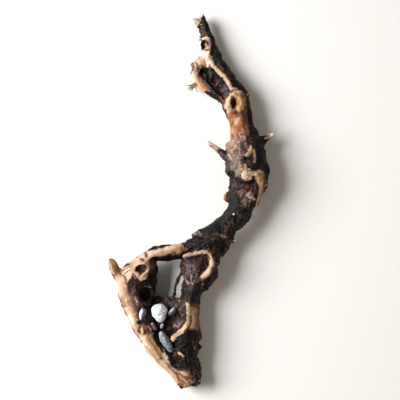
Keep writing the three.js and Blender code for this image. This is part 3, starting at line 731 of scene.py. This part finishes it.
def markMask(points, ragged, path, softness):
    stations = np.array(path, float)
    if len(stations) == 1:
        stations = np.vstack([stations, stations + [0.01, 0, 0]])
    inside = np.full(len(points), -1e3)
    for start, end in zip(stations[:-1], stations[1:]):
        run = end[:2] - start[:2]
        share = np.clip(((points[:, :2] - start[:2]) @ run) / (run @ run + 1e-9), 0, 1)
        gap = np.linalg.norm(points[:, :2] - (start[:2] + share[:, None] * run), axis=1)
        width = start[2] + share * (end[2] - start[2])
        torn = ragged * np.clip(width / markEdges["raggedWidth"], *markEdges["raggedShares"])
        inside = np.maximum(inside, width - gap + torn)
    return smoothstep(-softness, softness, inside)


def toward(colour, share, toneName):
    return colour + share[:, None] * (np.array(linear(woodTones[toneName][0])) - colour)


def worn(tone, fields, kind, where):
    field, start, full, toneName, strength = wear[kind]
    return toward(tone, strength * smoothstep(start, full, fields[field]) * where, toneName)


def bareCoat(normals, fields):
    # bark all over, black in broad patches and worn in places underneath
    coat = {name: value * fields["level"] for name, value in startingCoat.items()}
    below = normals[:, 2] < 0
    tone = toward(np.zeros_like(normals), fields["level"], "bark")
    tone = worn(tone, fields, "blackening", 1)
    coat["tone"] = worn(tone, fields, "underside", below)
    field, start, full, _, _ = wear["underside"]
    coat["peel"] += undersidePeel * smoothstep(start, full, fields[field]) * below
    return coat


def paintMarks(coat, points, normals, fields):
    tilt = normals[:, 2] + markEdges["unevenTilt"] * fields["lumps"]
    smallFacing = smoothstep(*markEdges["smallFacing"], tilt)
    wideFacing = smoothstep(*markEdges["wideFacing"], tilt)
    ragged = weighted(fields, markEdges["ragged"])
    for toneName, peel, rise, softness, *paths in marks:
        _, mottle, roughness = woodTones[toneName]
        for path in paths:
            small = max(width for _, _, width in path) < markEdges["smallWidth"]
            mask = markMask(points, ragged, path, softness) * (smallFacing if small else wideFacing)
            coat["tone"] = toward(coat["tone"], mask, toneName)
            coat["lift"] += mask * rise
            for name, value in (("peel", peel), ("mottle", mottle), ("roughness", roughness)):
                coat[name] += mask * (value - coat[name])


def weather(coat, fields):
    # stained edges and patches of the peeled wood, its grain, then mottling, grey specks and dark pits
    peel, mottle = coat["peel"], coat["mottle"]
    edge = smoothstep(*stainedEdge["from"], peel) * (1 - smoothstep(*stainedEdge["until"], peel))
    edge *= stainedEdge["strength"] * (mottle < stainedEdge["mottleBelow"])
    tone = toward(coat["tone"], edge, "umber")
    tone = worn(tone, fields, "stain", peel)
    tone = worn(tone, fields, "grainLine", peel)
    shade = (1 - peel) * weighted(fields, shading["bark"]) + mottle * weighted(fields, shading["mottle"])
    tone *= np.exp(shade + peel * weighted(fields, shading["wood"]))[:, None]
    tone = worn(tone, fields, "speck", mottle)
    coat["tone"] = worn(tone, fields, "pit", mottle)


def raiseRelief(mesh, coat, points, normals, fields):
    peel, lift = coat["peel"], coat["lift"]
    height = coat["roughness"] * weighted(fields, relief["bark"]) + peel * weighted(fields, relief["wood"])
    height += lift
    height *= smoothstep(*relief["flats"], points[:, 2])
    crevice = smoothstep(*relief["crevice"], height - lift) * (1 - peel)
    coat["tone"] *= (1 - relief["creviceShade"] * crevice)[:, None]
    moved = coordinates(mesh) + normals * (height * mm)[:, None]
    moved[:, 2] = np.maximum(moved[:, 2], 0.0)
    setCoordinates(mesh, moved)


def paintRoot(mesh):
    points = (coordinates(mesh) - np.array(drawingZero)) / mm
    normals = vertexNormals(mesh)
    fields = allFields(points)
    print("root: noise fields ready")
    coat = bareCoat(normals, fields)
    paintMarks(coat, points, normals, fields)
    weather(coat, fields)
    raiseRelief(mesh, coat, points, normals, fields)
    colours = np.ones((len(points), 4), np.float32)
    colours[:, :3] = np.clip(coat["tone"], *toneRange)
    layer = mesh.color_attributes.new("tone", "FLOAT_COLOR", "POINT")
    layer.data.foreach_set("color", colours.ravel())
    storeValue(mesh, "peel", coat["peel"])
    storeValue(mesh, "crumbly", (1 - coat["peel"]) * smoothstep(*crumblyRoughness, coat["roughness"]))


# Dry root wood: matt, cracked bark that still holds some dark gloss, worn through to smooth peeled wood.
def rootMaterial():
    material = newMaterial("dry_root_bark_and_peeled_wood")
    tone = addNode(material, "ShaderNodeVertexColor", {"layer_name": "tone"}).outputs["Color"]
    peel = ownValue(material, "peel")
    crumbly = ownValue(material, "crumbly")
    crumbs = noiseShade(material, 900, Detail=4, Roughness=0.65)
    flakes = noiseShade(material, 430, Detail=3, Roughness=0.6)
    barkShade = colourRamp(material, flakes, [(0.36, "#4a4240"), (0.5, "#c9c1bc"), (0.64, "#ffffff")])
    woodShade = colourRamp(material, crumbs, [(0.25, "#e2d9cf"), (0.6, "#ffffff")])
    shade = mixColours(material, peel, barkShade, woodShade)
    tinted = mixColours(material, 1, tone, shade, "MULTIPLY")
    dusty = addNode(material, "ShaderNodeMapRange", {"From Min": 0.56, "From Max": 0.68, "To Max": 0.35},
                    {"Value": flakes}).outputs["Result"]
    dustOnBark = addNode(material, "ShaderNodeMath", {"operation": "MULTIPLY"})
    material.node_tree.links.new(dusty, dustOnBark.inputs[0])
    material.node_tree.links.new(crumbly, dustOnBark.inputs[1])
    flecked = mixColours(material, dustOnBark.outputs["Value"], tinted, (*linear("#57423a"), 1))
    rough = addNode(material, "ShaderNodeMapRange", {"To Min": 0.6, "To Max": 0.56}, {"Value": peel})
    bump = addNode(material, "ShaderNodeBump", {"Strength": 0.5, "Distance": 0.0004}, {"Height": crumbs})
    return surfaced(material, {"IOR": 1.46, "Specular IOR Level": 0.2},
                    {"Base Color": flecked, "Roughness": rough.outputs["Result"],
                     "Normal": bump.outputs["Normal"]})


rootMesh = rootSkin(rootShape)
print("root: skin of", sum(len(polygon.vertices) - 2 for polygon in rootMesh.polygons), "triangles")
paintRoot(rootMesh)
shadeSmooth(rootMesh)
rootPiece = objectFrom(rootMesh, "root_wood")
rootPiece.data.materials.append(rootMaterial())
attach(rootPiece, "root")
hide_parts("root")
print("root: painted")


# Where a tuft grows: (x, y, z), its heading in degrees, how far it fans out, fibres, length and radius in mm
tufts = {
    "white": [
        ((103.4, 442.6, 17.6), 150, 60, 10, 2.5, 0.6),
        ((111, 446, 16), 85, 30, 9, 3.2, 0.6),
        ((120, 294, 28), 150, 20, 4, 2.5, 0.6),
        ((196, 303.6, 23.5), 14, 30, 10, 5, 0.8),
        ((191, 300.6, 25), 30, 30, 5, 4, 0.5),
        ((152, 177, 31), 10, 20, 5, 5, 0.8),
    ],
    "straw": [
        ((106, 367, 13), 222, 14, 14, 12, 1.5),
        ((99.6, 389, 13), 150, 50, 20, 3.6, 0.5),
        ((98.6, 380, 12), 180, 50, 20, 3, 0.5),
    ],
    "pale": [
        ((104, 391, 17), 150, 60, 14, 3.5, 0.5),
        ((110, 388, 18), 100, 70, 10, 3, 0.5),
        ((166, 352, 24), 15, 20, 3, 2.6, 0.7),
        ((173, 207, 26), -35, 20, 3, 4.5, 0.7),
        ((92, 20, 29), -40, 30, 9, 5, 0.5),
        ((96, 8, 26), -60, 30, 8, 5, 0.5),
    ],
    "brown": [
        ((101.5, 389, 16), 165, 50, 16, 2.6, 0.5),
        ((112, 387, 19), 120, 90, 10, 2.5, 0.45),
        ((106, 367, 13), 208, 18, 5, 9, 0.8),
        ((139, 337, 18), 235, 30, 7, 2.6, 0.7),
        ((143.5, 326, 18), 240, 26, 6, 2.4, 0.7),
        ((141, 228, 23), 190, 60, 9, 2.2, 0.5),
        ((94, 14, 29), -45, 40, 14, 5, 0.5),
        ((88, 6, 25), -80, 30, 8, 5, 0.5),
        ((112, 16, 20), 0, 60, 10, 2.5, 0.5),
        ((148, 178, 24), -40, 40, 9, 4.5, 0.35),
        ((70, 107, 22), 80, 40, 7, 3, 0.5),
        ((86, 106, 22), 95, 40, 7, 3, 0.5),
    ],
    "black": [
        ((99.5, 391, 16), 150, 40, 6, 2.6, 0.45),
        ((112, 419, 16), 175, 30, 7, 4, 0.4),
        ((114.6, 446, 16), 80, 20, 5, 3.4, 0.6),
        ((134, 346, 17), 225, 26, 6, 3, 0.7),
        ((86, 3, 20), -100, 30, 6, 4, 0.7),
        ((106, 3, 22), -70, 40, 8, 3, 0.6),
        ((24, 149, 27), 160, 30, 5, 4, 0.6),
        ((60, 169, 28), 70, 40, 7, 2.4, 0.5),
        ((147, 182, 26), -20, 40, 7, 3, 0.5),
    ],
}
fibreRoot = 0.5  # mm of a fibre that is under the bark
fibreSpread = 1.6  # mm that a fibre's foot may stand from the middle of its tuft, along each axis
fibreStations = (0.45, 1)  # how far along it bends, and where it ends
fibreTaper = (1.05, 0.85)  # its girth at the foot, and how much of that it loses by its end
fibreTwist = 18  # degrees that a fibre bends sideways, on the whole
fibreClimb = (-0.25, 0.45)  # how far it climbs, as a share of its length
fibreSizes = (0.5, 1.1)  # its length and girth, as a share of its tuft's
fibreShadow = 0.7  # the brightness of its darker patches
fibreColours = {
    "white": "#f0e6d8",
    "straw": "#c0a274",
    "pale": "#d2bb9b",
    "brown": "#7a5641",
    "black": "#1c1310",
}


def onTheBark(x, y, z):
    # the nearest spot on the root, pressed in a little so that the fibre grows out of it
    _, spot, normal, _ = rootPiece.closest_point_on_mesh(place(x, y, z))
    return (spot - drawingZero) / mm - normal * fibreRoot


def fibrePath(foot, heading, length, radius):
    x, y, z = onTheBark(*(c + random.uniform(-fibreSpread, fibreSpread) for c in foot))
    turn = math.radians(random.gauss(0, fibreTwist))
    climb = random.uniform(*fibreClimb)
    full, lost = fibreTaper
    path = [(x, y, z, radius)]
    for share in fibreStations:
        angle = heading + turn * share
        reach = length * share
        path.append((x + reach * math.cos(angle), y + reach * math.sin(angle), z + climb * reach,
                     radius * (full - lost * share)))
    return path


# Torn root fibre: dry and matt, the frayed ends that catch the light.
def fibreMaterial(name, hexColour):
    material = newMaterial("torn_root_fibre_" + name)
    cloud = noiseShade(material, 300, Detail=2)
    dark = "#" + "".join(f"{int(int(hexColour[i : i + 2], 16) * fibreShadow):02x}" for i in (1, 3, 5))
    colour = colourRamp(material, cloud, [(0.38, dark), (0.62, hexColour)])
    return surfaced(material, {"Roughness": 0.8}, {"Base Color": colour})


def tornFibres(name, places):
    paths = []
    for foot, heading, fan, count, length, radius in places:
        for _ in range(count):
            angle = math.radians(heading + random.uniform(-fan, fan))
            size = random.uniform(*fibreSizes)
            paths.append(fibrePath(foot, angle, length * size, radius * size))
    mesh = strandMesh(paths, sides=0, steps=2)
    mesh.materials.append(fibreMaterial(name, fibreColours[name]))
    piece = objectFrom(mesh, "torn_fibres_" + name)
    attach(piece, "root")


fullTurn = 6.3  # radians
barkFlakes = {
    "count": 300,
    "crumblyFrom": 0.5,
    "facingFrom": -0.2,
    "clearOfFloor": 0.005,  # m
    "lean": 0.35,
    "chipped": 0.12,  # mm that a corner is out of place
    "halfLong": (0.9, 2.3),  # mm
    "halfWide": (0.6, 1.3),
    "halfThick": 0.3,
    "colours": ["#30231d", "#17110e", "#45332a", "#241a17", "#5a463c", "#3a2f30"],
}


def anyTurn():
    return Quaternion((0, 0, 1), random.uniform(0, fullTurn))


def colouredFlakes(mesh, facts):
    crumbly = np.empty(len(mesh.vertices), np.float32)
    mesh.attributes["crumbly"].data.foreach_get("value", crumbly)
    points, normals = coordinates(mesh), vertexNormals(mesh)
    showing = (normals[:, 2] > facts["facingFrom"]) & (points[:, 2] > facts["clearOfFloor"])
    loose = np.flatnonzero((crumbly > facts["crumblyFrom"]) & showing)
    bm = bmesh.new()
    tone = bm.verts.layers.float_color.new("tone")
    for _ in range(facts["count"]):
        i = int(random.choice(loose))
        lean = Vector([random.gauss(0, facts["lean"]) for _ in range(3)])
        turned = (Vector(normals[i]) + lean).to_track_quat("Z", "Y") @ anyTurn()
        halfLong = random.uniform(*facts["halfLong"])
        halfWide = random.uniform(*facts["halfWide"])
        size = Vector((halfLong, halfWide, facts["halfThick"])) * mm
        matrix = Matrix.LocRotScale(Vector(points[i]), turned, size)
        flake = bmesh.ops.create_icosphere(bm, subdivisions=1, radius=1, matrix=matrix)
        colour = (*linear(random.choice(facts["colours"])), 1)
        for vert in flake["verts"]:
            vert.co += Vector([random.gauss(0, facts["chipped"]) for _ in range(3)]) * mm
            vert[tone] = colour
    return meshFrom(bm, "bark_flakes")


# Loose bark: matt crumbs that break up the edges.
def flakeMaterial():
    material = newMaterial("loose_root_bark")
    tone = addNode(material, "ShaderNodeVertexColor", {"layer_name": "tone"}).outputs["Color"]
    return surfaced(material, {"Roughness": 0.75, "Specular IOR Level": 0.25}, {"Base Color": tone})


bpy.context.view_layer.update()
random.seed(23)
for name, places in tufts.items():
    tornFibres(name, places)
flakeMesh = colouredFlakes(rootMesh, barkFlakes)
flakeMesh.materials.append(flakeMaterial())
flakePiece = objectFrom(flakeMesh, "bark_flakes")
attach(flakePiece, "root")
print("fibres and flakes: done")


# White grit stuck to the bark: (x, y, z, radius).
grit = [(150.5, 208.8, 38.8, 1.2), (119.8, 171.6, 38.6, 1), (112, 437.4, 18.6, 0.6)]


# Quartz grit: small, white and bright.
def gritPiece(grains):
    bm = bmesh.new()
    for x, y, z, radius in grains:
        size = Vector([radius * random.uniform(0.8, 1.2) for _ in range(3)])
        matrix = Matrix.LocRotScale(place(x, y, z), anyTurn(), size * mm)
        bmesh.ops.create_icosphere(bm, subdivisions=1, radius=1, matrix=matrix)
    mesh = meshFrom(bm, "white_grit")
    material = newMaterial("quartz_grit")
    mesh.materials.append(surfaced(material, {"Roughness": 0.5, "Base Color": (0.78, 0.76, 0.72, 1)}))
    piece = objectFrom(mesh, "white_grit")
    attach(piece, "root")


gritPiece(grit)


# grain: mm from one speck to the next; uneven: mm of relief;
# rim: a painted highlight, a paler face on the side towards the light, (towards x, towards y, where it
# starts, where it is full, colour).
noPaintedHighlight = (0, 0, 2, 3, "#ffffff")
stoneFinish = {
    "white_stone": {"colours": ["#8f97a6", "#dde3ec", "#fdfeff"], "grain": 1.5, "rough": 0.6, "uneven": 0.9,
                    "paintedHighlight": noPaintedHighlight},
    "vein_pebble": {"colours": ["#2d2a2c", "#484548", "#67646a"], "grain": 4.0, "rough": 0.6, "uneven": 0.5,
                    "paintedHighlight": (-0.95, 0.3, -0.1, 0.2, "#cdd3dc")},
    "band_pebble": {"colours": ["#252429", "#3a393e", "#55565c"], "grain": 4.0, "rough": 0.6, "uneven": 0.5,
                    "paintedHighlight": (-0.8, 0.6, 0.28, 0.45, "#a3a7b0")},
    "violet_pebble": {"colours": ["#48434f", "#625c6c", "#827c8c"], "grain": 3.0, "rough": 0.6, "uneven": 0.4,
                      "paintedHighlight": (-0.6, 0.7, 0.5, 0.8, "#a9a6b3")},
    "pale_chip": {"colours": ["#6f6e6b", "#8d8c88", "#a8a7a2"], "grain": 2.0, "rough": 0.6, "uneven": 0.3,
                  "paintedHighlight": noPaintedHighlight},
    "long_pebble": {"colours": ["#5e6268", "#7a7e84", "#a1a4a8"], "grain": 5.0, "rough": 0.55, "uneven": 0.6,
                    "paintedHighlight": (-0.95, -0.3, 0.55, 0.75, "#aaadac")},
}
stoneBumps = 7  # mm from one bump to the next
highlightWander = 0.3  # how far the bumps push a pale face's edge about


# River-worn stone: close grain, a soft sheen on the worn faces.
def stoneMaterial(name, finish):
    material = newMaterial(name + "_river_worn")
    cloud = noiseShade(material, 1000 / finish["grain"], Detail=5, Roughness=0.6, Distortion=0.6)
    dark, middle, pale = finish["colours"]
    *_, highlightColour = finish["paintedHighlight"]
    body = colourRamp(material, cloud, [(0.38, dark), (0.5, middle), (0.62, pale)])
    # painted highlight: the paler face mixed over the stone's own colour
    bodyWithHighlight = mixColours(material, ownValue(material, "paintedHighlight"), body, (*linear(highlightColour), 1))
    pits = noiseShade(material, 1400, Detail=3)
    bump = addNode(material, "ShaderNodeBump", {"Strength": 0.35, "Distance": 0.0003}, {"Height": pits})
    return surfaced(material, {"IOR": 1.5, "Specular IOR Level": 0.3, "Roughness": finish["rough"]},
                    {"Base Color": bodyWithHighlight, "Normal": bump.outputs["Normal"]})


def finishedStone(name, finish):
    rough = objectFrom(nodeCopy(name), name + "_rough")
    finer = rough.modifiers.new("finer", "SUBSURF")
    finer.levels = finer.render_levels = 3
    mesh = evaluatedMesh(rough)
    bpy.data.objects.remove(rough)
    points = coordinates(mesh)
    normals = vertexNormals(mesh)
    bumps = noiseField(points / mm, stoneBumps, len(name), octaves=3)
    # painted highlight: the face towards the light is lightened towards the rim colour
    towardX, towardY, start, full, _ = finish["paintedHighlight"]
    offset = (points - points.mean(0)) / (np.ptp(points, axis=0) / 2)
    side = offset[:, 0] * towardX + offset[:, 1] * towardY
    paintedHighlight = smoothstep(start, full, side + highlightWander * bumps)
    storeValue(mesh, "paintedHighlight", paintedHighlight)
    setCoordinates(mesh, points + normals * (bumps * finish["uneven"] * mm)[:, None])
    shadeSmooth(mesh)
    piece = objectFrom(mesh, name + "_worn")
    mesh.materials.append(stoneMaterial(name, finish))
    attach(piece, "root")
    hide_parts(name)


for stoneName, finish in stoneFinish.items():
    finishedStone(stoneName, finish)
print("stones: done")


# The floor, the light and the camera.
room = {
    "floorSize": 8.0,  # m
    "floorDrop": 0.0002,  # m below the root's flats
    "windowPower": 69.0,  # W
    "windowSize": 1.25,
    "windowPlace": (-1.45, 0.3, 1.1),
    "windowColour": (1.0, 0.99, 0.975),
    "bouncePower": 8.0,
    "bounceSize": 1.6,
    "bouncePlace": (1.5, -0.6, 0.9),
    "bounceColour": (1.0, 0.78, 0.52),
    "skyStrength": 0.14,
    "skyColour": (0.95, 0.98, 1.0, 1),
    "cameraHeight": 1.358,
    "cameraAim": (9.85, 2.8),  # mm from the origin
    "lens": 100,
}


# Matt white paint: almost even, with the faintest roller texture.
def floorMaterial():
    material = newMaterial("floor_matt_white_paint")
    roller = noiseShade(material, 260, Detail=2)
    colour = colourRamp(material, roller, [(0.2, "#f1f0ee"), (0.8, "#f4f3f2")])
    return surfaced(material, {"Roughness": 0.9, "Specular IOR Level": 0.1}, {"Base Color": colour})


def floorPlane(settings):
    bm = bmesh.new()
    bmesh.ops.create_grid(bm, x_segments=1, y_segments=1, size=settings["floorSize"] / 2)
    bmesh.ops.translate(bm, verts=bm.verts, vec=(0, 0, -settings["floorDrop"]))
    mesh = meshFrom(bm, "floor")
    mesh.materials.append(floorMaterial())
    floor = objectFrom(mesh, "floor")


def areaLight(name, power, size, spot, colour):
    lamp = bpy.data.lights.new(name, "AREA")
    lamp.energy = power
    lamp.size = size
    lamp.color = colour
    light = objectFrom(lamp, name)
    light.location = spot
    light.rotation_euler = (-light.location).to_track_quat("-Z", "Y").to_euler()


def skyLight(settings):
    world = bpy.data.worlds.new("room")
    bpy.context.scene.world = world
    world.use_nodes = True
    background = world.node_tree.nodes["Background"]
    background.inputs["Color"].default_value = settings["skyColour"]
    background.inputs["Strength"].default_value = settings["skyStrength"]


def topCamera(settings):
    data = bpy.data.cameras.new("camera")
    data.lens = settings["lens"]
    data.sensor_width = 36
    camera = objectFrom(data, "camera")
    across, along = settings["cameraAim"]
    camera.location = (across * mm, along * mm, settings["cameraHeight"])
    bpy.context.scene.camera = camera


floorPlane(room)
areaLight("window", room["windowPower"], room["windowSize"], room["windowPlace"], room["windowColour"])
areaLight("warm_wall", room["bouncePower"], room["bounceSize"], room["bouncePlace"], room["bounceColour"])
skyLight(room)
topCamera(room)
bpy.context.scene.view_settings.view_transform = "Standard"
print("room: floor, light and camera ready")
